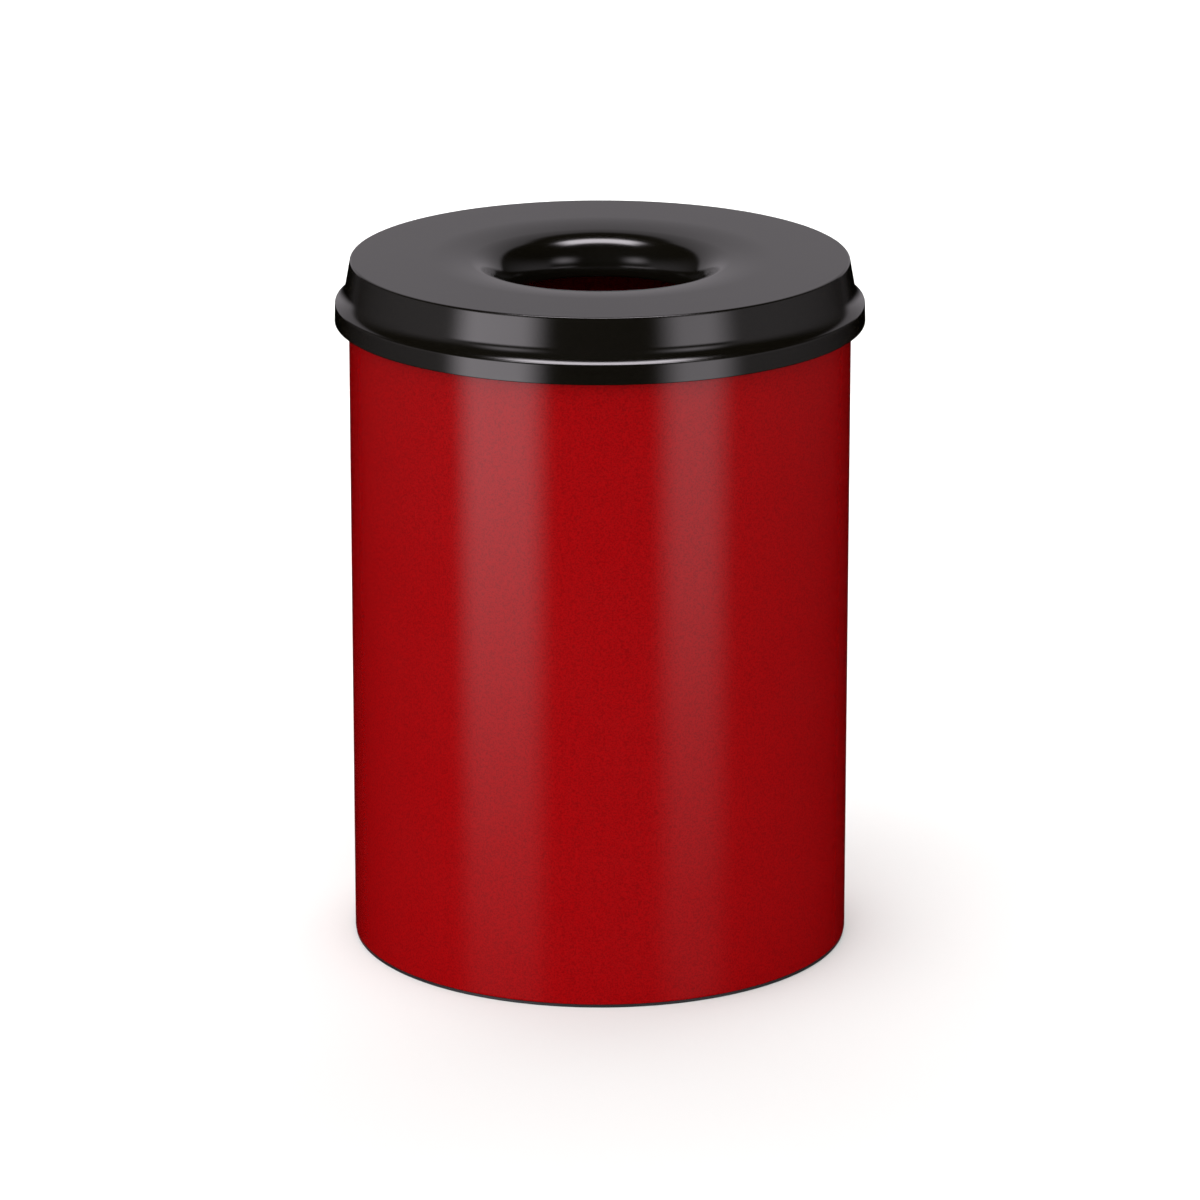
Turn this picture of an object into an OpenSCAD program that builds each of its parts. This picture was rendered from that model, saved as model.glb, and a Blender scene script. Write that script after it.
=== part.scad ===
// Self-extinguishing waste bin, 30 litre class.
// A sheet-steel cylinder with a rolled rim and a recessed base, and a loose
// deep-drawn lid whose trumpet-shaped throat starves a fire of air.
// Origin on the floor under the centre of the bin, +Z up, the front is -Y.
// Every sheet part is a closed outline turned about Z.

/* [Bin] */
// Outside diameter of the steel cylinder
bin_d = 335; // [320:1:350]
// Height of the whole object, from the floor to the flat of the lid
overall_h = 470; // [380:1:560]
// Thickness of the sheet steel
sheet_t = 0.8; // [0.6:0.1:1.0]
// Outside diameter of the rolled rim
rim_curl_d = 8; // [7:0.2:8]
// Height of the base plate above the floor
base_rise = 14; // [14:1:24]
// Depth of the pressed centre of the base plate
base_press = 3; // [2:0.5:6]
// Diameter of the pressed centre of the base plate
base_press_d = 250; // [180:1:280]
// Width of the welded overlap at the back of the cylinder
lap_w = 12; // [8:1:16]

/* [Floor ring] */
// Thickness of the plastic ring under the hem
floor_ring_t = 2; // [1.5:0.5:4]
// Width of the plastic ring under the hem
floor_ring_w = 7; // [6:0.5:12]
// Thickness of the upright that clips inside the hem
floor_ring_web = 2; // [1.5:0.1:3]

/* [Lid] */
// Height of the lid, from its lower edge to its flat top
lid_h = 42; // [40:1:48]
// Height of the tapered skirt
skirt_h = 25.2; // [24.8:0.2:26]
// How far the skirt widens from top to bottom, on the radius
skirt_flare = 4.6; // [4.4:0.1:4.9]
// Width of the sloping shoulder over the rim
shoulder_w = 5.7; // [5.7:0.1:6.2]
// Slope of the shoulder below the horizontal
shoulder_slope = 34; // [34:1:38]
// How far the flange widens from shoulder to lower edge, on the radius
flange_flare = 0.4; // [0:0.1:0.8]
// Radius of the bend at the top edge
top_edge_r = 1.6; // [1.2:0.1:2.4]
// Radius of the wide hollow bend between skirt and shoulder
hollow_bend_r = 14; // [11:0.5:14]
// Radius of the tight bend between shoulder and flange
shoulder_bend_r = 1.6; // [1.2:0.1:1.8]

/* [Throat] */
// Narrowest diameter of the throat
throat_d = 130; // [110:1:150]
// Radius of the roll that turns the top down into the throat
roll_r = 26; // [20:1:28]
// Radius of the shallow dish that leads into the roll
dish_r = 200; // [100:5:220]
// Slope at which the dish meets the roll
dish_angle = 8; // [4:0.5:10]
// Outside diameter of the curled edge at the foot of the throat
throat_curl_d = 5.2; // [4.4:0.2:6]

/* [Buffers] */
// Number of soft buffers between the lid and the rim
buffer_count = 3; // [3:1:6]
// Length of a buffer along the rim, in degrees
buffer_arc = 12; // [8:1:20]
// Thickness of a buffer
buffer_t = 1; // [0.6:0.1:1]
// Width of a buffer
buffer_w = 1.6; // [1.2:0.1:2]
// Free gap left between a buffer and the rim
seat_gap = 0.3; // [0.3:0.1:0.4]

/* [Hidden] */
$fn = 180;
ARC_STEP = 5; // most degrees between the points of a bend
ARC_CHORD = 4; // most millimetres between the points of a bend

bin_r = bin_d / 2;
inner_r = bin_r - sheet_t;
rim_curl_r = rim_curl_d / 2;
throat_r = throat_d / 2;
throat_curl_r = throat_curl_d / 2;
base_bend_r = 3;
press_bend_r = 4;
seam_top = base_rise - base_bend_r;
wire_play = 0.05; // gap between a wire and the sheet curled round it
rim_curl_end = -130; // direction in which the rolled rim stops, in degrees
throat_curl_end = 450; // direction in which the throat curl stops, in degrees
lap_clear = 4; // bare length of cylinder above and below the overlap

// Corners of the lid's outer face, from the top edge to the lower edge
lid_top_r = bin_r - 1.2;
lid_top = [lid_top_r, overall_h];
skirt_foot = lid_top + [skirt_flare, -skirt_h];
shoulder_edge = skirt_foot + shoulder_w * [1, -tan(shoulder_slope)];
lid_foot = [shoulder_edge.x + flange_flare, overall_h - lid_h];

// Centres of the throat's bends
roll_centre = [throat_r + roll_r, overall_h - dish_r * (1 - cos(dish_angle)) - roll_r * cos(dish_angle)];
dish_centre = [roll_centre.x + (dish_r - roll_r) * sin(dish_angle), overall_h - dish_r];
throat_curl_centre = [throat_r + throat_curl_r, roll_centre.y];

// The rolled rim bears on the hollow bend's underside through the buffers
hollow_centre = corner_centre(lid_top, skirt_foot, shoulder_edge, hollow_bend_r);
underside_r = hollow_bend_r + sheet_t;
rim_centre_r = inner_r + rim_curl_r;
rim_reach = underside_r + buffer_t + seat_gap + rim_curl_r;
rim_drop = sqrt(pow(rim_reach, 2) - pow(hollow_centre.x - rim_centre_r, 2));
rim_centre = [rim_centre_r, hollow_centre.y - rim_drop];

// Points on an arc about c, from direction a0 to direction a1
function arc(c, r, a0, a1) =
    let (
        turn = abs(a1 - a0),
        steps = max(1, ceil(turn / ARC_STEP), ceil(turn / 180 * PI * r / ARC_CHORD))
    )
    [for (i = [0:steps]) c + r * dir(a0 + (a1 - a0) * i / steps)];

function dir(a) = [cos(a), sin(a)];
function unit(v) = v / norm(v);
function angle_of(v) = atan2(v.y, v.x);
function near_turn(a) = a - 360 * round(a / 360);
function reverse(list) = [for (i = [len(list) - 1:-1:0]) list[i]];
function tail(list) = [for (i = [1:len(list) - 1]) list[i]];

// Centre of a rounded corner of radius r at p1, between the runs to p0 and p2
function corner_centre(p0, p1, p2, r) =
    let (back = unit(p0 - p1), ahead = unit(p2 - p1))
    p1 + unit(back + ahead) * r / sin(acos(back * ahead) / 2);

// A rounded corner of a sheet at p1. The sheet's outer face runs p0, p1, p2
// and its metal lies to the right. depth 0 is the outer face, sheet_t the inner.
function corner(p0, p1, p2, r, depth) =
    let (
        back = unit(p0 - p1),
        ahead = unit(p2 - p1),
        half = acos(back * ahead) / 2,
        centre = corner_centre(p0, p1, p2, r),
        right_turn = cross(p1 - p0, p2 - p1) < 0,
        a0 = angle_of(p1 + back * r / tan(half) - centre),
        a1 = a0 + near_turn(angle_of(p1 + ahead * r / tan(half) - centre) - a0)
    )
    arc(centre, right_turn ? r - depth : r + depth, a0, a1);

// A closed outline from an outer face and the inner face that follows it
function sheet(outer, inner) = concat(outer, reverse(inner));

module turned(outline) {
    rotate_extrude() polygon(outline);
}

// One face of the cylinder's sheet: up the inside of the hem, round its foot,
// up the wall and round the rolled rim
function shell_face(depth) =
    let (
        hem_r = 1.5 * sheet_t,
        hem_centre = [bin_r - hem_r, floor_ring_t + hem_r]
    )
    concat(
        [[bin_r - 3 * sheet_t + depth, seam_top]],
        arc(hem_centre, hem_r - depth, 180, 360),
        arc(rim_centre, rim_curl_r - sheet_t + depth, 180, rim_curl_end)
    );

// Sheet-steel cylinder with its hem, its rolled rim and its welded overlap
module body_shell() {
    lap_z0 = base_rise + lap_clear;
    lap_z1 = rim_centre.y - rim_curl_r - lap_clear;
    lap_angle = lap_w / bin_r * 180 / PI;
    color("firebrick") {
        turned(sheet(shell_face(0), shell_face(sheet_t)));
        rotate([0, 0, 90 - lap_angle / 2])
            rotate_extrude(angle = lap_angle)
                translate([inner_r - sheet_t, lap_z0]) square([sheet_t, lap_z1 - lap_z0]);
    }
}

// Steel wire that the rim is rolled round
module rim_wire() {
    color("silver")
        rotate_extrude() translate(rim_centre) circle(r = rim_curl_r - sheet_t - wire_play);
}

// Base plate: a flange held in the hem, a flat ledge and a pressed centre
module base_plate() {
    press_r = base_press_d / 2;
    foot = [inner_r, floor_ring_t + 1.5 * sheet_t];
    edge = [inner_r, base_rise];
    press_top = [press_r, base_rise];
    press_foot = [press_r - 2 * base_press, base_rise - base_press];
    centre = [0, base_rise - base_press];
    face = function (depth) concat(
        [centre - [0, depth]],
        corner(centre, press_foot, press_top, press_bend_r, depth),
        corner(press_foot, press_top, edge, press_bend_r, depth),
        corner(press_top, edge, foot, base_bend_r, depth),
        [foot - [depth, 0]]
    );
    color("firebrick") turned(sheet(face(0), face(sheet_t)));
}

// Plastic ring that keeps the steel hem off the floor
module floor_ring() {
    hem_inner_r = bin_r - 3 * sheet_t;
    ring_inset = 0.5;
    web_clear = 1;
    color("dimgray") {
        rotate_extrude()
            translate([bin_r - ring_inset - floor_ring_w, 0]) square([floor_ring_w, floor_ring_t]);
        rotate_extrude()
            translate([hem_inner_r - floor_ring_web, 0]) square([floor_ring_web, seam_top - web_clear]);
    }
}

// Deep-drawn lid: curled throat edge, roll, dish, flat, skirt, shoulder, flange
module lid_shell() {
    flat = dish_centre + [0, dish_r];
    face = function (depth) concat(
        arc(throat_curl_centre, throat_curl_r - depth, throat_curl_end, 180),
        tail(arc(roll_centre, roll_r - depth, 180, 90 + dish_angle)),
        tail(arc(dish_centre, dish_r - depth, 90 + dish_angle, 90)),
        corner(flat, lid_top, skirt_foot, top_edge_r, depth),
        corner(lid_top, skirt_foot, shoulder_edge, hollow_bend_r, depth),
        corner(skirt_foot, shoulder_edge, lid_foot, shoulder_bend_r, depth),
        [lid_foot - [depth, 0]]
    );
    color("#1c1b1d") turned(sheet(face(0), face(sheet_t)));
}

// Steel wire that the throat's edge is curled round
module throat_wire() {
    color("silver")
        rotate_extrude()
            translate(throat_curl_centre) circle(r = throat_curl_r - sheet_t - wire_play);
}

// Soft buffers under the hollow bend, evenly spaced round the rim
module lid_buffers() {
    inward = unit(rim_centre - hollow_centre);
    along = [-inward.y, inward.x] * buffer_w / 2;
    contact = hollow_centre + inward * underside_r;
    foot = contact + inward * buffer_t;
    outline = [contact - along, contact + along, foot + along, foot - along];
    color("dimgray")
        for (i = [0:buffer_count - 1])
            rotate([0, 0, 90 + i * 360 / buffer_count - buffer_arc / 2])
                rotate_extrude(angle = buffer_arc) polygon(outline);
}

body_shell();
rim_wire();
base_plate();
floor_ring();
lid_shell();
throat_wire();
lid_buffers();
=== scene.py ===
"""Self-extinguishing waste bin: a red steel cylinder under a loose black lid.

Every sheet part is one closed outline turned about the bin's axis. The origin is on
the floor under the centre of the bin, +Z is up and the front is -Y.
"""

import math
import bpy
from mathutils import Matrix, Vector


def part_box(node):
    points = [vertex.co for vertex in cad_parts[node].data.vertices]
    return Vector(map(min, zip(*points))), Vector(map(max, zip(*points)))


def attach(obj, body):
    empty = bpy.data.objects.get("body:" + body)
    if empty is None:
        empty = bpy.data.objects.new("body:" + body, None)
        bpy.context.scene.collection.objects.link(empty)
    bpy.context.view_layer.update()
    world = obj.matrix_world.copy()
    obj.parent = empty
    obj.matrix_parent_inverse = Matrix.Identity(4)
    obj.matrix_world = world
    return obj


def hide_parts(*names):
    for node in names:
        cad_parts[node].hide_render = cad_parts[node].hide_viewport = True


bl_info = {
    "name": "Self-Extinguishing Waste Bin",
    "version": (1, 0, 0),
    "blender": (4, 5, 0),
    "location": "View3D > Sidebar > Waste Bin",
    "description": "Builds a steel waste bin with a lid that smothers fire, and its studio",
    "category": "Add Mesh",
}

import bmesh
import bpy
from bpy.props import FloatProperty, FloatVectorProperty, IntProperty, PointerProperty
from mathutils import Vector

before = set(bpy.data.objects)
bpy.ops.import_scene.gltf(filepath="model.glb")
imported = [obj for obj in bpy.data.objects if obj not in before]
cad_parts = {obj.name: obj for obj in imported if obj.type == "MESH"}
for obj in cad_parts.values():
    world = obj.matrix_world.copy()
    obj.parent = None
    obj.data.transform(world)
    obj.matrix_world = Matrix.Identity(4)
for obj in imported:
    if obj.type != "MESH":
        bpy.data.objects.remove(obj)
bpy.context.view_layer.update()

MM = 0.001
SAME_POINT = 1e-6  # metres within which two points count as one
SENSOR_WIDTH = 36.0  # millimetres, of a full-frame camera
VIEW_END = 100.0  # metres from the camera

BASE_LOW, BASE_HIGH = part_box("base_plate")
_, RING_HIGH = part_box("floor_ring")
LID_LOW, LID_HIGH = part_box("lid_shell")
WIRE_LOW, WIRE_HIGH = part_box("rim_wire")
THROAT_WIRE_LOW, THROAT_WIRE_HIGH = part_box("throat_wire")


# ---------------------------------------------------------------- sizes and colours


def length(name, description, default, low=0.0, high=1.0):
    """A length in metres that shows in the scene's own units."""
    return FloatProperty(
        name=name, description=description, default=default, min=low, max=high,
        precision=5, subtype="DISTANCE", unit="LENGTH",
    )


def angle(name, description, degrees):
    """An angle that is stored in radians."""
    return FloatProperty(
        name=name, description=description, default=math.radians(degrees),
        min=-math.tau, max=math.tau, subtype="ANGLE", unit="ROTATION",
    )


def amount(name, description, default, high=1.0):
    """A plain number from nothing to high."""
    return FloatProperty(name=name, description=description, default=default, min=0.0, max=high)


def srgb(code):
    """Turns an sRGB hex value such as 9B0305 into linear red, green and blue."""
    values = [int(code[i:i + 2], 16) / 255 for i in (0, 2, 4)]
    return [v / 12.92 if v <= 0.04045 else ((v + 0.055) / 1.055) ** 2.4 for v in values]


def colour(name, description, code):
    """A colour that is given as an sRGB hex value."""
    return FloatVectorProperty(
        name=name, description=description, default=srgb(code),
        min=0.0, max=1.0, size=3, subtype="COLOR",
    )


class BinSizes(bpy.types.PropertyGroup):
    """Sizes of the sheet-metal parts, which repeat the design's own"""

    sheet: length("Sheet", "Thickness of the sheet steel", 0.8 * MM)
    cylinder_radius: length("Cylinder Radius", "Outside radius of the cylinder", 167.5 * MM)
    hem_top: length("Hem Top", "Height of the top of the hem inside the foot", 11 * MM)
    hem_foot: length("Hem Foot", "Height of the foot of the hem", 2 * MM)
    rim_radius: length("Rim Radius", "Outside radius of the rolled rim's tube", 4 * MM)
    rim_end: angle("Rim End", "Direction in which the rolled rim stops", -130)
    base_press: length("Base Pressing", "Depth of the base plate's pressed centre", 3 * MM)
    base_press_radius: length("Pressing Radius", "Radius of the pressed centre", 125 * MM)
    base_bend: length("Base Bend", "Bend radius at the edge of the base plate", 3 * MM)
    press_bend: length("Pressing Bend", "Bend radius of the pressed step", 4 * MM)
    ring_height: length("Ring Height", "Thickness of the floor ring's foot", 2 * MM)
    ring_width: length("Ring Width", "Width of the floor ring's foot", 7 * MM)
    ring_web: length("Ring Web", "Thickness of the floor ring's upright", 2 * MM)
    ring_round: length("Ring Rounding", "Radius of the floor ring's moulded edges", 0.5 * MM)
    lap_width: length("Overlap", "Width of the welded overlap inside the back", 12 * MM)
    lap_margin: length("Overlap Margin", "Bare length above and below the overlap", 4 * MM)
    weld_width: length("Weld Width", "Width of the dressed weld down the back", 2.4 * MM)
    weld_height: length("Weld Height", "Height of the dressed weld", 0.25 * MM)
    top_radius: length("Top Radius", "Radius of the lid's top edge", 166.3 * MM)
    skirt_height: length("Skirt Height", "Height of the tapered skirt", 25.2 * MM)
    skirt_flare: length("Skirt Flare", "How far the skirt widens downwards", 4.6 * MM)
    shoulder_width: length("Shoulder Width", "Width of the sloping shoulder", 5.7 * MM)
    shoulder_slope: angle("Shoulder Slope", "Slope of the shoulder below level", 34)
    flange_flare: length("Flange Flare", "How far the flange widens downwards", 0.4 * MM)
    top_bend: length("Top Bend", "Bend radius of the top edge", 1.6 * MM)
    hollow_bend: length("Hollow Bend", "Bend radius between skirt and shoulder", 14 * MM)
    shoulder_bend: length("Shoulder Bend", "Bend radius between shoulder and flange", 1.6 * MM)
    throat_radius: length("Throat Radius", "Narrowest radius of the throat", 65 * MM)
    roll_radius: length("Roll Radius", "Radius of the roll into the throat", 26 * MM)
    dish_radius: length("Dish Radius", "Radius of the shallow dish before the roll", 200 * MM)
    dish_angle: angle("Dish Angle", "Slope at which the dish meets the roll", 8)
    throat_curl: length("Throat Curl", "Radius of the curled edge of the throat", 2.6 * MM)
    buffer_count: IntProperty(name="Buffers", description="Number of buffers", default=3, min=1)
    buffer_arc: angle("Buffer Arc", "Length of a buffer round the rim", 12)
    buffer_thickness: length("Buffer Thickness", "Thickness of a buffer", 1 * MM)
    buffer_width: length("Buffer Width", "Width of a buffer", 1.6 * MM)
    steps_round: IntProperty(
        name="Steps Round", description="Faces in one turn of a turned part", default=256, min=16
    )


class BinFinishes(bpy.types.PropertyGroup):
    """Colours and surface values of the bin's finishes"""

    red: colour("Body Red", "Powder coat of the cylinder and base", "900306")
    red_shade: colour("Body Red Shade", "Thinner film between the grains of the red coat", "760205")
    red_roughness: amount("Body Roughness", "Roughness of the red powder coat", 0.14)
    black: colour("Lid Black", "Powder coat of the lid", "0D0B07")
    black_shade: colour("Lid Black Shade", "Thinner film between the grains of the black coat", "0A0805")
    black_roughness: amount("Lid Roughness", "Roughness of the black powder coat", 0.14)
    wire: colour("Wire", "Drawn steel wire", "B9BABC")
    vinyl: colour("Floor Ring", "Soft black plastic of the floor ring", "1C1C1E")
    rubber: colour("Buffers", "Black rubber of the buffers", "202022")
    paper: colour("Floor", "Pale studio floor", "F8F8F7")


class StudioSettings(bpy.types.PropertyGroup):
    """Camera and lights"""

    camera_distance: length("Camera Distance", "From the bin's axis, level", 4.14, 0.5, 20)
    camera_height: length("Camera Height", "Above the floor", 1.472, 0.0, 20)
    camera_pitch: angle("Camera Pitch", "How far the camera looks down", 16.68)
    lens: FloatProperty(name="Lens", description="Focal length in millimetres", default=191.8)
    floor_size: length("Floor Size", "Side of the square floor", 30.0, 1.0, 100)
    wash_power: amount("Wash Power", "Watts of the lamp above the floor behind", 180, 2000)
    ambient: amount("Ambient", "Even light from all round", 0.32, 10)
    front_fill: amount("Front Fill", "Broad light from the front", 1.9, 10)
    front_direction: FloatVectorProperty(
        name="Front Direction", description="Where the front fill comes from",
        default=(-0.32, -0.88, 0.35), size=3, subtype="DIRECTION",
    )
    left_strip: amount("Left Strip", "Brightness of the left strip light", 4.2, 50)
    right_strip: amount("Right Strip", "Brightness of the right strip light", 2.9, 50)
    upper_lights: amount("Upper Lights", "Brightness of a small light above each strip", 2.4, 50)
    panel: amount("Panel", "Brightness of the panel above the bin", 12.5, 50)
    side_walls: amount("Side Walls", "Brightness of the walls beside the bin", 0.42, 50)
    backdrop: amount("Backdrop", "Brightness of the wall behind the bin", 0.5, 50)
    tint: colour("Light Tint", "Colour of the reflected lights", "FFF8FF")


# ---------------------------------------------------------------- outlines of sheet


def on_circle(centre, radius, direction):
    """The point on a circle that lies in a direction from its centre."""
    return centre + radius * Vector((math.cos(direction), math.sin(direction)))


def arc(centre, radius, start, end, chord=0.8 * MM, turn=math.radians(7.5)):
    """Points on an arc, close enough together to look round."""
    sweep = abs(end - start)
    steps = max(2, math.ceil(sweep / turn), math.ceil(sweep * radius / chord))
    return [on_circle(centre, radius, start + (end - start) * i / steps) for i in range(steps + 1)]


def bend_centre(before, corner, after, radius):
    """Centre of a rounded corner between the runs to two other corners."""
    back, ahead = (before - corner).normalized(), (after - corner).normalized()
    return corner + (back + ahead).normalized() * radius / math.sin(back.angle(ahead) / 2)


def bend(before, corner, after, radius, depth):
    """A rounded corner of a sheet whose metal lies to the right of its outer face."""
    back, ahead = (before - corner).normalized(), (after - corner).normalized()
    centre = bend_centre(before, corner, after, radius)
    reach = radius / math.tan(back.angle(ahead) / 2)
    foot_in, foot_out = corner + back * reach - centre, corner + ahead * reach - centre
    start = math.atan2(foot_in.y, foot_in.x)
    sweep = math.remainder(math.atan2(foot_out.y, foot_out.x) - start, math.tau)
    turns_right = back.x * ahead.y - back.y * ahead.x > 0
    return arc(centre, radius - depth if turns_right else radius + depth, start, start + sweep)


def trimmed(path, cut):
    """The path with both its ends cut back."""
    path = list(path)
    path[0] += (path[1] - path[0]).normalized() * cut
    path[-1] += (path[-2] - path[-1]).normalized() * cut
    return path


def edge_round(start, end):
    """A half circle from one face of the sheet to the other, round its cut edge."""
    middle = (start + end) / 2
    spoke = start - middle
    direction = math.atan2(spoke.y, spoke.x)
    return arc(middle, spoke.length, direction, direction - math.pi)[1:-1]


def guarded(outline, guard=0.35 * MM):
    """Adds a point close to each end of a long straight run, so that shading stays flat."""
    result = []
    for here, after in zip(outline, outline[1:] + outline[:1]):
        result.append(here)
        run = after - here
        if run.length > 4 * guard:
            result += [here + run.normalized() * guard, after - run.normalized() * guard]
    return result


def distinct(outline):
    """Leaves out points that repeat the one before them."""
    kept = []
    for point in outline:
        if not kept or (point - kept[-1]).length > SAME_POINT:
            kept.append(point)
    return kept if (kept[0] - kept[-1]).length > SAME_POINT else kept[:-1]


def sheet_outline(face, thickness):
    """A closed outline of a sheet, from a function that gives its face at a depth."""
    outer = trimmed(distinct(face(0.0)), thickness / 2)
    inner = trimmed(distinct(face(thickness)), thickness / 2)[::-1]
    caps = edge_round(outer[-1], inner[0]), edge_round(inner[-1], outer[0])
    return guarded(distinct(outer + caps[0] + inner + caps[1]))


def rounded_block(low, high, radius):
    """A rectangle with round corners, anticlockwise."""
    corners = (
        (Vector((high.x, low.y)), -1, 1, -90), (Vector((high.x, high.y)), -1, -1, 0),
        (Vector((low.x, high.y)), 1, -1, 90), (Vector((low.x, low.y)), 1, 1, 180),
    )
    outline = []
    for corner, inward_x, inward_y, start in corners:
        centre = corner + Vector((inward_x, inward_y)) * radius
        outline += arc(centre, radius, math.radians(start), math.radians(start + 90))
    return outline


def rim_centre():
    """Centre of the rolled rim's tube, from the wire inside it."""
    tube = (WIRE_HIGH.z - WIRE_LOW.z) / 2
    return Vector((WIRE_HIGH.x - tube, (WIRE_HIGH.z + WIRE_LOW.z) / 2))


def throat_curl_centre(sizes):
    """Centre of the throat's curled edge, from the wire inside it."""
    height = (THROAT_WIRE_HIGH.z + THROAT_WIRE_LOW.z) / 2
    return Vector((sizes.throat_radius + sizes.throat_curl, height))


def lid_corners(sizes):
    """Corners of the lid's outer face, from its top edge to its lower edge."""
    top = Vector((sizes.top_radius, LID_HIGH.z))
    skirt_foot = top + Vector((sizes.skirt_flare, -sizes.skirt_height))
    fall = sizes.shoulder_width * math.tan(sizes.shoulder_slope)
    shoulder = skirt_foot + Vector((sizes.shoulder_width, -fall))
    foot = Vector((shoulder.x + sizes.flange_flare, LID_LOW.z))
    return top, skirt_foot, shoulder, foot


def cylinder_face(sizes, depth):
    """Down inside the hem, round its foot, up the wall and round the rolled rim."""
    hem = 1.5 * sizes.sheet
    hem_centre = Vector((sizes.cylinder_radius - hem, sizes.hem_foot + hem))
    inside = sizes.cylinder_radius - 3 * sizes.sheet + depth
    return (
        [Vector((inside, sizes.hem_top))]
        + arc(hem_centre, hem - depth, math.pi, math.tau, chord=0.3 * MM)
        + arc(rim_centre(), sizes.rim_radius - sizes.sheet + depth, math.pi, sizes.rim_end)
    )


def base_face(sizes, depth):
    """Out across the pressed centre, up its step, over the ledge and down the flange."""
    edge = Vector((sizes.cylinder_radius - sizes.sheet, BASE_HIGH.z))
    foot = Vector((edge.x, BASE_LOW.z))
    centre = Vector((0, edge.y - sizes.base_press))
    press_foot = Vector((sizes.base_press_radius - 2 * sizes.base_press, centre.y))
    press_top = Vector((sizes.base_press_radius, edge.y))
    return (
        bend(centre, press_foot, press_top, sizes.press_bend, depth)
        + bend(press_foot, press_top, edge, sizes.press_bend, depth)
        + bend(press_top, edge, foot, sizes.base_bend, depth)
        + [foot - Vector((depth, 0))]
    )


def base_outline(sizes):
    """The base plate's outline, which reaches the axis at its pressed centre."""
    level = BASE_HIGH.z - sizes.base_press
    near_axis = 0.2 * MM
    outer = base_face(sizes, 0.0)
    inner = base_face(sizes, sizes.sheet)[::-1]
    outer[-1] += Vector((0, sizes.sheet / 2))
    inner[0] += Vector((0, sizes.sheet / 2))
    cap = edge_round(outer[-1], inner[0])
    rim = guarded([Vector((0, level))] + outer + cap + inner + [Vector((0, level - sizes.sheet))])
    return [p for p in rim if p.x > near_axis or p.x == 0]


def lid_face(sizes, depth):
    """Round the throat's curl, up the roll, over the dish and flat, and down the skirt."""
    top, skirt_foot, shoulder, foot = lid_corners(sizes)
    curl_centre = throat_curl_centre(sizes)
    roll_centre = Vector((sizes.throat_radius + sizes.roll_radius, curl_centre.y))
    reach = (sizes.dish_radius - sizes.roll_radius) * math.sin(sizes.dish_angle)
    dish_centre = Vector((roll_centre.x + reach, top.y - sizes.dish_radius))
    flat = dish_centre + Vector((0, sizes.dish_radius))
    upright = math.pi / 2
    dish_start = upright + sizes.dish_angle
    return (
        arc(curl_centre, sizes.throat_curl - depth, 2.5 * math.pi, math.pi)
        + arc(roll_centre, sizes.roll_radius - depth, math.pi, dish_start)
        + arc(dish_centre, sizes.dish_radius - depth, dish_start, upright, chord=2 * MM)
        + bend(flat, top, skirt_foot, sizes.top_bend, depth)
        + bend(top, skirt_foot, shoulder, sizes.hollow_bend, depth)
        + bend(skirt_foot, shoulder, foot, sizes.shoulder_bend, depth)
        + [foot - Vector((depth, 0))]
    )


def softened(corners, radius):
    """A closed outline with each of its corners rounded."""
    outline = []
    for i, corner in enumerate(corners):
        outline += bend(corners[i - 1], corner, corners[(i + 1) % len(corners)], radius, 0)
    return outline


def buffer_outline(sizes):
    """A strip under the hollow bend, just clear of the rolled rim."""
    top, skirt_foot, shoulder, _ = lid_corners(sizes)
    centre = bend_centre(top, skirt_foot, shoulder, sizes.hollow_bend)
    inward = (rim_centre() - centre).normalized()
    along = Vector((-inward.y, inward.x)) * sizes.buffer_width / 2
    contact = centre + inward * (sizes.hollow_bend + sizes.sheet)
    foot = contact + inward * sizes.buffer_thickness
    corners = [contact - along, contact + along, foot + along, foot - along]
    return softened(corners, radius=0.2 * MM)


# ---------------------------------------------------------------- node and mesh helpers


def add(tree, kind, inputs=None, **settings):
    """Adds a node with its settings. An input is a value, a socket or a node to link."""
    node = tree.nodes.new(kind)
    for name, value in settings.items():
        setattr(node, name, value)
    for name, value in (inputs or {}).items():
        if isinstance(value, bpy.types.Node):
            value = value.outputs[0]
        if isinstance(value, bpy.types.NodeSocket):
            tree.links.new(value, node.inputs[name])
        else:
            node.inputs[name].default_value = value
    return node


def shape_tree(name, inputs):
    """A Geometry Nodes tree with a geometry input, named inputs and one output."""
    tree = bpy.data.node_groups.new(name, "GeometryNodeTree")
    for label, kind in [("Geometry", "NodeSocketGeometry"), *inputs]:
        tree.interface.new_socket(label, in_out="INPUT", socket_type=kind)
    tree.interface.new_socket("Geometry", in_out="OUTPUT", socket_type="NodeSocketGeometry")
    return tree, add(tree, "NodeGroupInput").outputs


def finish_tree(tree, geometry, finish):
    """Ends a tree: shade smooth, realize, set the finish."""
    smooth = add(tree, "GeometryNodeSetShadeSmooth", {"Geometry": geometry})
    real = add(tree, "GeometryNodeRealizeInstances", {"Geometry": smooth})
    painted = add(tree, "GeometryNodeSetMaterial", {"Geometry": real, "Material": finish})
    add(tree, "NodeGroupOutput", {"Geometry": painted})
    return tree


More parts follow.
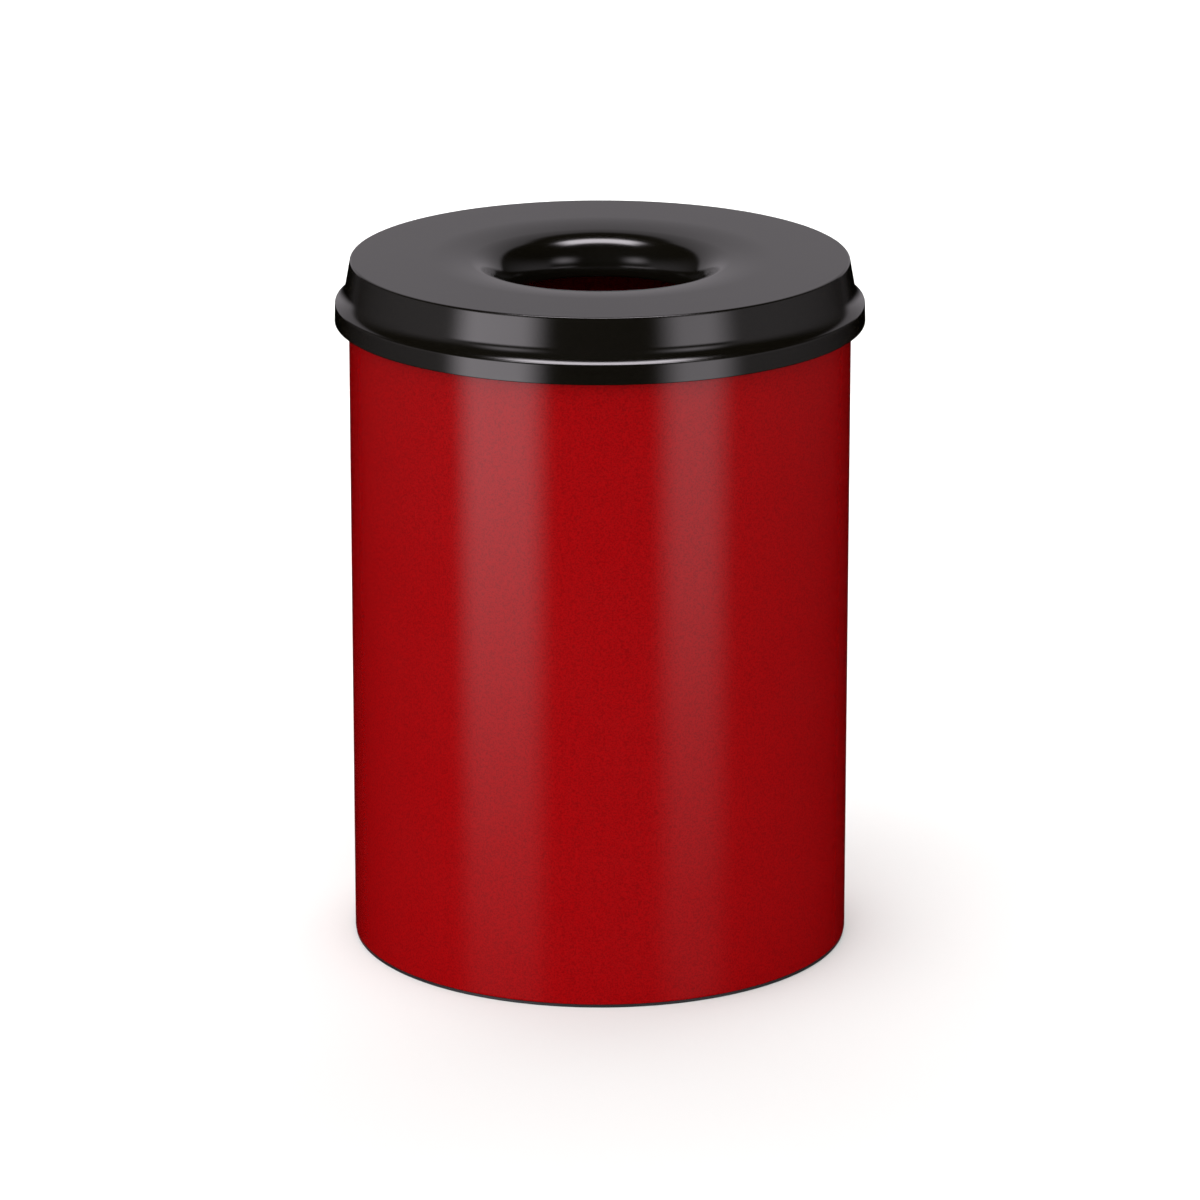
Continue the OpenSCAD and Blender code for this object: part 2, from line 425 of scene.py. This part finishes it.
def turning_tree():
    """Turns the outline in the XZ plane about Z, as a spinning lathe would."""
    tree, given = shape_tree(
        "Turned Sheet", [("Steps Round", "NodeSocketInt"), ("Finish", "NodeSocketMaterial")]
    )
    count = add(tree, "GeometryNodeAttributeDomainSize", {"Geometry": given["Geometry"]})
    rows = add(tree, "ShaderNodeMath", {0: given["Steps Round"], 1: 1.0}, operation="ADD")
    skin = add(
        tree, "GeometryNodeMeshGrid",
        {"Vertices X": count.outputs["Point Count"], "Vertices Y": rows},
    )
    index = add(tree, "GeometryNodeInputIndex")
    middle = add(tree, "ShaderNodeMath", {0: index, 1: 0.5}, operation="ADD")
    ratio = add(tree, "ShaderNodeMath", {0: middle, 1: rows}, operation="DIVIDE")
    along = add(tree, "ShaderNodeMath", {0: ratio}, operation="FLOOR")
    part = add(tree, "ShaderNodeMath", {0: ratio}, operation="FRACT")
    round_ = add(tree, "ShaderNodeMath", {0: part, 1: rows}, operation="MULTIPLY")
    step = add(tree, "ShaderNodeMath", {0: round_}, operation="FLOOR")
    turn = add(tree, "ShaderNodeMath", {0: step, 1: given["Steps Round"]}, operation="DIVIDE")
    angle_ = add(tree, "ShaderNodeMath", {0: turn, 1: math.tau}, operation="MULTIPLY")
    place = add(tree, "GeometryNodeInputPosition")
    sample = add(
        tree, "GeometryNodeSampleIndex",
        {"Geometry": given["Geometry"], "Value": place, "Index": along},
        data_type="FLOAT_VECTOR",
    )
    turned = add(
        tree, "ShaderNodeVectorRotate",
        {"Vector": sample.outputs["Value"], "Angle": angle_}, rotation_type="Z_AXIS",
    )
    moved = add(
        tree, "GeometryNodeSetPosition",
        {"Geometry": skin.outputs["Mesh"], "Position": turned},
    )
    closed = add(tree, "GeometryNodeMergeByDistance", {"Geometry": moved, "Distance": SAME_POINT})
    return finish_tree(tree, closed, given["Finish"])


def ring_tree():
    """Copies one piece to evenly spaced places about Z."""
    tree, given = shape_tree(
        "Ring of Pieces",
        [("Count", "NodeSocketInt"), ("First", "NodeSocketFloat"), ("Finish", "NodeSocketMaterial")],
    )
    points = add(tree, "GeometryNodePoints", {"Count": given["Count"]})
    index = add(tree, "GeometryNodeInputIndex")
    turn = add(tree, "ShaderNodeMath", {0: index, 1: given["Count"]}, operation="DIVIDE")
    angle_ = add(
        tree, "ShaderNodeMath", {0: turn, 1: math.tau, 2: given["First"]},
        operation="MULTIPLY_ADD",
    )
    rotation = add(tree, "ShaderNodeCombineXYZ", {"Z": angle_})
    copies = add(
        tree, "GeometryNodeInstanceOnPoints",
        {"Points": points, "Instance": given["Geometry"], "Rotation": rotation},
    )
    return finish_tree(tree, copies, given["Finish"])


def tree_named(name, build):
    """The tree of that name, built at its first use."""
    return bpy.data.node_groups.get(name) or build()


def outward(mesh):
    """Turns the faces of a closed mesh outwards if its volume comes out negative."""
    form = bmesh.new()
    form.from_mesh(mesh)
    if form.calc_volume(signed=True) < 0:
        bmesh.ops.reverse_faces(form, faces=form.faces)
    form.to_mesh(mesh)
    form.free()


def grown(name, source, tree, values):
    """Runs a tree on a source mesh and keeps the result as a plain mesh object."""
    draft = bpy.data.objects.new(name + "_draft", source)
    bpy.context.scene.collection.objects.link(draft)
    modifier = draft.modifiers.new("Shape", "NODES")
    modifier.node_group = tree
    sockets = {s.name: s.identifier for s in tree.interface.items_tree if s.in_out == "INPUT"}
    for label, value in values.items():
        modifier[sockets[label]] = value
    graph = bpy.context.evaluated_depsgraph_get()
    mesh = bpy.data.meshes.new_from_object(draft.evaluated_get(graph))
    bpy.data.objects.remove(draft)
    return as_piece(name, mesh)


def as_piece(name, mesh):
    """Links a finished mesh to the scene as an object at the origin."""
    outward(mesh)
    mesh.name = name
    piece = bpy.data.objects.new(name, mesh)
    bpy.context.scene.collection.objects.link(piece)
    return piece


def turned_piece(name, outline, finish, steps, closed=True):
    """Turns an outline of (radius, height) points about Z."""
    points = [(p.x, 0, p.y) for p in (outline + outline[:1] if closed else outline)]
    profile = bpy.data.meshes.new(name + "_outline")
    profile.from_pydata(points, [(i, i + 1) for i in range(len(points) - 1)], [])
    tree = tree_named("Turned Sheet", turning_tree)
    return grown(name, profile, tree, {"Steps Round": steps, "Finish": finish})


def curved_bar(name, section, sweep, steps, middle=math.pi / 2):
    """A mesh that sweeps a closed (radius, height) section through part of a turn."""
    rings = [middle + sweep * (i / steps - 0.5) for i in range(steps + 1)]
    points = [(p.x * math.cos(a), p.x * math.sin(a), p.y) for a in rings for p in section]
    side = len(section)
    faces = []
    for here in range(0, steps * side, side):
        for i in range(side):
            j = (i + 1) % side
            faces.append((here + i, here + j, here + side + j, here + side + i))
    ends = [tuple(range(side))[::-1], tuple(range(steps * side, (steps + 1) * side))]
    mesh = bpy.data.meshes.new(name)
    mesh.from_pydata(points, [], faces + ends)
    return mesh


def finished(piece, node, body):
    """Hides the design node that the piece takes the place of, and ties the piece to what it moves with.
    """
    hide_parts(node)
    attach(piece, body)


def coat(piece, finish):
    """Gives the piece one finish all over."""
    piece.data.materials.clear()
    piece.data.materials.append(finish)


# ---------------------------------------------------------------- finishes


NOISE_LOW, NOISE_HIGH = 0.3, 0.7  # most values of a noise texture lie between these


def new_finish(name):
    """An empty material with its tree, its shader and its object coordinates."""
    material = bpy.data.materials.get(name)
    if material:
        return material, None, None, None
    material = bpy.data.materials.new(name)
    material.use_nodes = True
    tree = material.node_tree
    tree.nodes.clear()
    shader = add(tree, "ShaderNodeBsdfPrincipled")
    add(tree, "ShaderNodeOutputMaterial", {"Surface": shader.outputs[0]})
    place = add(tree, "ShaderNodeTexCoord").outputs["Object"]
    return material, tree, shader, place


ROUGHNESS_SPREAD = 0.06  # share by which a powder coat's roughness wanders either way


def powder_coat(name, film, thin_film, roughness, specular, peel, grain):
    """Polyester powder coat, sprayed dry and baked on sheet steel.

    The melted powder gives an even colour, a faint orange peel a few millimetres across
    and a grain that breaks up the edges of reflections, drawn coarse enough to show.
    """
    material, tree, shader, place = new_finish(name)
    if tree is None:
        return material
    peel_wave, grain_wave, mottle_wave = 4 * MM, 1.1 * MM, 60 * MM
    waves = add(tree, "ShaderNodeTexNoise", {"Vector": place, "Scale": 1 / peel_wave, "Detail": 2})
    grains = add(tree, "ShaderNodeTexNoise", {"Vector": place, "Scale": 1 / grain_wave, "Detail": 1})
    mottle = add(tree, "ShaderNodeTexNoise", {"Vector": place, "Scale": 1 / mottle_wave, "Detail": 2})
    cover = add(tree, "ShaderNodeMapRange", {"Value": grains, "From Min": 0.3, "From Max": 0.6})
    tint = add(
        tree, "ShaderNodeMix", {0: cover, 6: (*thin_film, 1), 7: (*film, 1)}, data_type="RGBA"
    )
    tree.links.new(tint.outputs[2], shader.inputs["Base Color"])
    uneven = add(
        tree, "ShaderNodeMapRange",
        {"Value": mottle, "From Min": NOISE_LOW, "From Max": NOISE_HIGH,
         "To Min": roughness * (1 - ROUGHNESS_SPREAD), "To Max": roughness * (1 + ROUGHNESS_SPREAD)},
    )
    tree.links.new(uneven.outputs[0], shader.inputs["Roughness"])
    coarse = add(tree, "ShaderNodeBump", {"Height": waves, "Distance": peel, "Strength": 1.0})
    fine = add(
        tree, "ShaderNodeBump",
        {"Height": grains, "Distance": grain, "Strength": 1.0, "Normal": coarse},
    )
    tree.links.new(fine.outputs[0], shader.inputs["Normal"])
    shader.inputs["Specular IOR Level"].default_value = specular
    return material


def red_powder_coat():
    """Red with a weak shine, on the cylinder and the base."""
    finishes = bpy.context.scene.bin_finishes
    return powder_coat(
        "Red_Satin_Powder_Coat", finishes.red, finishes.red_shade, finishes.red_roughness,
        specular=0.25, peel=0.008 * MM, grain=0.010 * MM,
    )


def black_powder_coat():
    """Black with a stronger shine, on the lid."""
    finishes = bpy.context.scene.bin_finishes
    return powder_coat(
        "Black_Gloss_Powder_Coat", finishes.black, finishes.black_shade, finishes.black_roughness,
        specular=0.5, peel=0.006 * MM, grain=0.004 * MM,
    )


def drawn_wire():
    """Bright steel wire, drawn through a die, whose fine marks are drawn as an even grain."""
    material, tree, shader, place = new_finish("Drawn_Steel_Wire")
    if tree is None:
        return material
    mark_wave = 0.6 * MM
    marks = add(tree, "ShaderNodeTexNoise", {"Vector": place, "Scale": 1 / mark_wave, "Detail": 3})
    shade = add(
        tree, "ShaderNodeMapRange",
        {"Value": marks, "From Min": NOISE_LOW, "From Max": NOISE_HIGH,
         "To Min": 0.28, "To Max": 0.42},
    )
    relief = add(tree, "ShaderNodeBump", {"Height": marks, "Distance": 0.01 * MM, "Strength": 1.0})
    tree.links.new(shade.outputs[0], shader.inputs["Roughness"])
    tree.links.new(relief.outputs[0], shader.inputs["Normal"])
    shader.inputs["Base Color"].default_value = (*bpy.context.scene.bin_finishes.wire, 1)
    shader.inputs["Metallic"].default_value = 1.0
    return material


def soft_plastic(name, tone, roughness, wave, height):
    """Plasticised PVC or rubber from a mould: matt, dark, with a faint leathery skin."""
    material, tree, shader, place = new_finish(name)
    if tree is None:
        return material
    skin = add(tree, "ShaderNodeTexNoise", {"Vector": place, "Scale": 1 / wave, "Detail": 3})
    dull = add(
        tree, "ShaderNodeMapRange",
        {"Value": skin, "From Min": NOISE_LOW, "From Max": NOISE_HIGH,
         "To Min": roughness * 0.9, "To Max": roughness * 1.1},
    )
    bloom = 1.25  # how much paler the skin's high places are
    paler = tuple(c * bloom for c in tone)
    tint = add(tree, "ShaderNodeMix", {0: skin, 6: (*tone, 1), 7: (*paler, 1)}, data_type="RGBA")
    relief = add(tree, "ShaderNodeBump", {"Height": skin, "Distance": height, "Strength": 1.0})
    tree.links.new(tint.outputs[2], shader.inputs["Base Color"])
    tree.links.new(dull.outputs[0], shader.inputs["Roughness"])
    tree.links.new(relief.outputs[0], shader.inputs["Normal"])
    return material


def seamless_paper():
    """Uncoated background paper: pale and quite matt, so that it takes a soft shadow."""
    material, tree, shader, _ = new_finish("Pale_Background_Paper")
    if tree is None:
        return material
    shader.inputs["Base Color"].default_value = (*bpy.context.scene.bin_finishes.paper, 1)
    shader.inputs["Roughness"].default_value = 0.9
    shader.inputs["Specular IOR Level"].default_value = 0.1
    return material


# ---------------------------------------------------------------- operators


class BinOperator(bpy.types.Operator):
    """A step that builds part of the bin"""

    bl_options = {"REGISTER", "UNDO"}

    def execute(self, context):
        self.build(context.scene.bin_sizes)
        return {"FINISHED"}


class WASTEBIN_OT_cylinder(BinOperator):
    """Build the steel cylinder, its welded overlap and the weld down its back"""

    bl_idname = "waste_bin.cylinder"
    bl_label = "Cylinder"

    LAP_STEPS, LAP_SUNK, LAP_ROUND = 12, 0.1 * MM, 0.35 * MM
    WELD_STEPS, WELD_SUNK, WELD_MARGIN = 16, 0.2 * MM, 2 * MM

    def build(self, sizes):
        red = red_powder_coat()
        outline = sheet_outline(lambda depth: cylinder_face(sizes, depth), sizes.sheet)
        shell = turned_piece("steel_cylinder", outline, red, sizes.steps_round)
        finished(shell, "body_shell", "bin")
        low = BASE_HIGH.z + sizes.lap_margin
        high = rim_centre().y - sizes.rim_radius - sizes.lap_margin
        inside = sizes.cylinder_radius - sizes.sheet
        inner, outer = Vector((inside - sizes.sheet, low)), Vector((inside + self.LAP_SUNK, high))
        lap = guarded(rounded_block(inner, outer, self.LAP_ROUND))
        self.upright("welded_overlap", lap, sizes.lap_width / inside, self.LAP_STEPS, red)
        face, root = sizes.cylinder_radius, sizes.cylinder_radius - self.WELD_SUNK
        foot, top = sizes.hem_foot + self.WELD_MARGIN, rim_centre().y - sizes.rim_radius
        bead = [Vector(p) for p in ((root, foot), (face, foot), (face, top), (root, top))]
        self.weld("dressed_weld", bead, sizes, red)

    def upright(self, name, section, sweep, steps, finish):
        """A strip down the back of the cylinder."""
        piece = as_piece(name, curved_bar(name, section, sweep, steps))
        coat(piece, finish)
        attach(piece, "bin")
        return piece

    def weld(self, name, section, sizes, finish):
        """The weld is highest along its middle, and its edges lie flush with the wall."""
        sweep = sizes.weld_width / sizes.cylinder_radius
        piece = self.upright(name, section, sweep, self.WELD_STEPS, finish)
        for number, vertex in enumerate(piece.data.vertices):
            across = number // len(section) / self.WELD_STEPS * 2 - 1
            reach = Vector((vertex.co.x, vertex.co.y, 0))
            if reach.length > sizes.cylinder_radius - self.WELD_SUNK / 2:
                vertex.co += reach.normalized() * sizes.weld_height * (1 - across**2)
        piece.data.shade_smooth()


class WASTEBIN_OT_base(BinOperator):
    """Build the pressed base plate"""

    bl_idname = "waste_bin.base"
    bl_label = "Base Plate"

    def build(self, sizes):
        plate = turned_piece(
            "pressed_base", base_outline(sizes), red_powder_coat(), sizes.steps_round, closed=False
        )
        finished(plate, "base_plate", "bin")


class WASTEBIN_OT_floor_ring(BinOperator):
    """Build the plastic ring that keeps the hem off the floor"""

    bl_idname = "waste_bin.floor_ring"
    bl_label = "Floor Ring"

    def build(self, sizes):
        vinyl = soft_plastic(
            "Black_Floor_Ring_Vinyl", bpy.context.scene.bin_finishes.vinyl,
            roughness=0.5, wave=1.5 * MM, height=0.02 * MM,
        )
        outer = RING_HIGH.x
        web_out = sizes.cylinder_radius - 3 * sizes.sheet
        web_in, inner = web_out - sizes.ring_web, outer - sizes.ring_width
        foot_top, web_top = sizes.ring_height, RING_HIGH.z
        corners = [
            (inner, 0), (outer, 0), (outer, foot_top), (web_out, foot_top),
            (web_out, web_top), (web_in, web_top), (web_in, foot_top), (inner, foot_top),
        ]
        outline = guarded(softened([Vector(c) for c in corners], sizes.ring_round))
        ring = turned_piece("floor_ring_moulding", outline, vinyl, sizes.steps_round)
        finished(ring, "floor_ring", "bin")


class WASTEBIN_OT_lid(BinOperator):
    """Build the deep-drawn lid with its trumpet-shaped throat"""

    bl_idname = "waste_bin.lid"
    bl_label = "Lid"

    def build(self, sizes):
        outline = sheet_outline(lambda depth: lid_face(sizes, depth), sizes.sheet)
        lid = turned_piece("smothering_lid", outline, black_powder_coat(), sizes.steps_round)
        finished(lid, "lid_shell", "lid")


class WASTEBIN_OT_buffers(BinOperator):
    """Build the rubber buffers under the lid's shoulder"""

    bl_idname = "waste_bin.buffers"
    bl_label = "Buffers"

    def build(self, sizes):
        rubber = soft_plastic(
            "Black_Buffer_Rubber", bpy.context.scene.bin_finishes.rubber,
            roughness=0.6, wave=0.8 * MM, height=0.02 * MM,
        )
        strip = curved_bar("buffer", buffer_outline(sizes), sizes.buffer_arc, steps=24)
        buffers = grown(
            "rubber_buffers", strip, tree_named("Ring of Pieces", ring_tree),
            {"Count": sizes.buffer_count, "First": 0.0, "Finish": rubber},
        )
        finished(buffers, "lid_buffers", "lid")


class WASTEBIN_OT_wires(BinOperator):
    """Give the wires inside the rolled edges their drawn-steel finish"""

    bl_idname = "waste_bin.wires"
    bl_label = "Edge Wires"

    def build(self, sizes):
        for node in ("rim_wire", "throat_wire"):
            coat(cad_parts[node], drawn_wire())


class WASTEBIN_OT_stage(bpy.types.Operator):
    """Set the pale floor, the soft lights and the camera"""

    bl_idname = "waste_bin.stage"
    bl_label = "Studio"
    bl_options = {"REGISTER", "UNDO"}

    WASH_SIZE, WASH_PLACE, WASH_AIM = (7, 3), (0, 3, 3.2), (0, 2.6, 0)

    def execute(self, context):
        studio = context.scene.bin_studio
        context.scene.view_settings.view_transform = "Standard"
        self.camera(context.scene, studio)
        self.floor(studio)
        self.lamp("Wash", self.WASH_SIZE, studio.wash_power, self.WASH_PLACE, self.WASH_AIM)
        self.room(context.scene, studio)
        return {"FINISHED"}

    def camera(self, scene, studio):
        view = bpy.data.cameras.new("Camera")
        view.lens, view.sensor_width = studio.lens, SENSOR_WIDTH
        view.clip_end = VIEW_END
        camera = bpy.data.objects.new("Camera", view)
        camera.location = (0, -studio.camera_distance, studio.camera_height)
        camera.rotation_euler = (math.pi / 2 - studio.camera_pitch, 0, 0)
        scene.collection.objects.link(camera)
        scene.camera = camera

    def floor(self, studio):
        """A floor that takes shadows and is hidden from reflections."""
        half = studio.floor_size / 2
        mesh = bpy.data.meshes.new("studio_floor")
        corners = [(-half, -half, 0), (half, -half, 0), (half, half, 0), (-half, half, 0)]
        mesh.from_pydata(corners, [], [(0, 1, 2, 3)])
        mesh.materials.append(seamless_paper())
        floor = bpy.data.objects.new("studio_floor", mesh)
        floor.visible_glossy = False
        bpy.context.scene.collection.objects.link(floor)

    def lamp(self, name, size, power, location, aim):
        """A large soft lamp, hidden from reflections."""
        data = bpy.data.lights.new(name, "AREA")
        data.shape, data.size, data.size_y = "RECTANGLE", size[0], size[1]
        data.energy = power
        lamp = bpy.data.objects.new(name, data)
        lamp.location = location
        lamp.rotation_euler = (Vector(aim) - lamp.location).to_track_quat("-Z", "Y").to_euler()
        lamp.visible_glossy = False
        bpy.context.scene.collection.objects.link(lamp)

    def room(self, scene, studio):
        """Two rooms in one: reflected rays see patches of light, all others a broad fill."""
        world = bpy.data.worlds.new("Studio Room")
        scene.world = world
        world.use_nodes = True
        tree = world.node_tree
        tree.nodes.clear()
        way = add(tree, "ShaderNodeTexCoord").outputs["Object"]
        x, y, z = add(tree, "ShaderNodeSeparateXYZ", {0: way}).outputs
        ahead = add(tree, "ShaderNodeMath", {0: y, 1: -1.0}, operation="MULTIPLY")
        azimuth = add(tree, "ShaderNodeMath", {0: x, 1: ahead}, operation="ARCTAN2")
        off_front = add(tree, "ShaderNodeMath", {0: azimuth}, operation="ABSOLUTE")
        height = add(tree, "ShaderNodeMath", {0: z}, operation="ARCSINE")
        overhead = add(tree, "ShaderNodeMath", {0: z, 1: y}, operation="ARCTAN2")
        across = add(tree, "ShaderNodeMath", {0: x}, operation="ABSOLUTE")
        off_middle = add(tree, "ShaderNodeMath", {0: across}, operation="ARCSINE")

        # Each patch of light has a brightness and its edges. An edge fades along an
        # angle from the first value, where it is dark, to the second, in degrees.
        left_sides = (azimuth, -72, -56), (azimuth, -20, -36)
        right_sides = (azimuth, 66, 48), (azimuth, 22, 38)
        strip_ends = (height, -20, -13), (height, 13, 5)
        upper_left = (azimuth, -66, -44), (azimuth, -22, -44), (height, 16, 27), (height, 42, 27)
        upper_right = (azimuth, 66, 44), (azimuth, 22, 44), (height, 16, 27), (height, 42, 27)
        patches = (
            (studio.left_strip, *left_sides, *strip_ends),
            (studio.right_strip, *right_sides, *strip_ends),
            (studio.upper_lights, *upper_left),
            (studio.upper_lights, *upper_right),
            (studio.side_walls, (off_front, 52, 66), (off_front, 152, 72), (height, 38, 10),
             (height, -17, -9)),
            (studio.panel, (overhead, 79, 85), (overhead, 100, 93), (off_middle, 25, 14)),
            (studio.backdrop, (off_front, 137, 145), (off_front, 240, 156), (height, 56, 48),
             (height, -10, 2)),
        )
        reflection = 0.0
        for brightness, *edges in patches:
            patch = brightness
            for direction, dark, bright in edges:
                low, high = math.radians(dark), math.radians(bright)
                edge = add(
                    tree, "ShaderNodeMapRange",
                    {"Value": direction, "From Min": low, "From Max": high},
                    interpolation_type="SMOOTHSTEP",
                )
                patch = add(tree, "ShaderNodeMath", {0: patch, 1: edge}, operation="MULTIPLY")
            reflection = add(tree, "ShaderNodeMath", {0: reflection, 1: patch}, operation="ADD")

        lean = add(
            tree, "ShaderNodeVectorMath", {0: way, 1: studio.front_direction},
            operation="DOT_PRODUCT",
        )
        fill = add(
            tree, "ShaderNodeMath",
            {0: lean.outputs["Value"], 1: studio.front_fill, 2: studio.ambient},
            operation="MULTIPLY_ADD",
        )
        fill = add(tree, "ShaderNodeMath", {0: fill, 1: 0.0}, operation="MAXIMUM")
        mirrored = add(tree, "ShaderNodeLightPath").outputs["Is Glossy Ray"]
        strength = add(tree, "ShaderNodeMix", {0: mirrored, 2: fill, 3: reflection})
        tint = add(
            tree, "ShaderNodeMix", {0: mirrored, 6: (1, 1, 1, 1), 7: (*studio.tint, 1)},
            data_type="RGBA",
        )
        glow = add(tree, "ShaderNodeBackground", {"Color": tint.outputs[2], "Strength": strength})
        add(tree, "ShaderNodeOutputWorld", {"Surface": glow})


class WASTEBIN_PT_panel(bpy.types.Panel):
    """Lists the steps that build the bin"""

    bl_idname = "WASTEBIN_PT_panel"
    bl_label = "Waste Bin"
    bl_space_type = "VIEW_3D"
    bl_region_type = "UI"
    bl_category = "Waste Bin"

    def draw(self, context):
        for operator in PIECES + [WASTEBIN_OT_stage]:
            self.layout.operator(operator.bl_idname)
        for group in (context.scene.bin_sizes, context.scene.bin_finishes, context.scene.bin_studio):
            box = self.layout.box()
            for name in group.__annotations__:
                box.prop(group, name)


PIECES = [
    WASTEBIN_OT_cylinder, WASTEBIN_OT_base, WASTEBIN_OT_floor_ring,
    WASTEBIN_OT_lid, WASTEBIN_OT_buffers, WASTEBIN_OT_wires,
]
GROUPS = {"bin_sizes": BinSizes, "bin_finishes": BinFinishes, "bin_studio": StudioSettings}
CLASSES = [*GROUPS.values(), *PIECES, WASTEBIN_OT_stage, WASTEBIN_PT_panel]


def register():
    for cls in CLASSES:
        bpy.utils.register_class(cls)
    for name, group in GROUPS.items():
        setattr(bpy.types.Scene, name, PointerProperty(type=group))


def unregister():
    for name in GROUPS:
        delattr(bpy.types.Scene, name)
    for cls in reversed(CLASSES):
        bpy.utils.unregister_class(cls)


def main():
    register()
    bpy.ops.waste_bin.stage()
    bpy.ops.waste_bin.cylinder()
    bpy.ops.waste_bin.base()
    bpy.ops.waste_bin.floor_ring()
    bpy.ops.waste_bin.lid()
    bpy.ops.waste_bin.buffers()
    bpy.ops.waste_bin.wires()


if __name__ == "__main__":
    main()
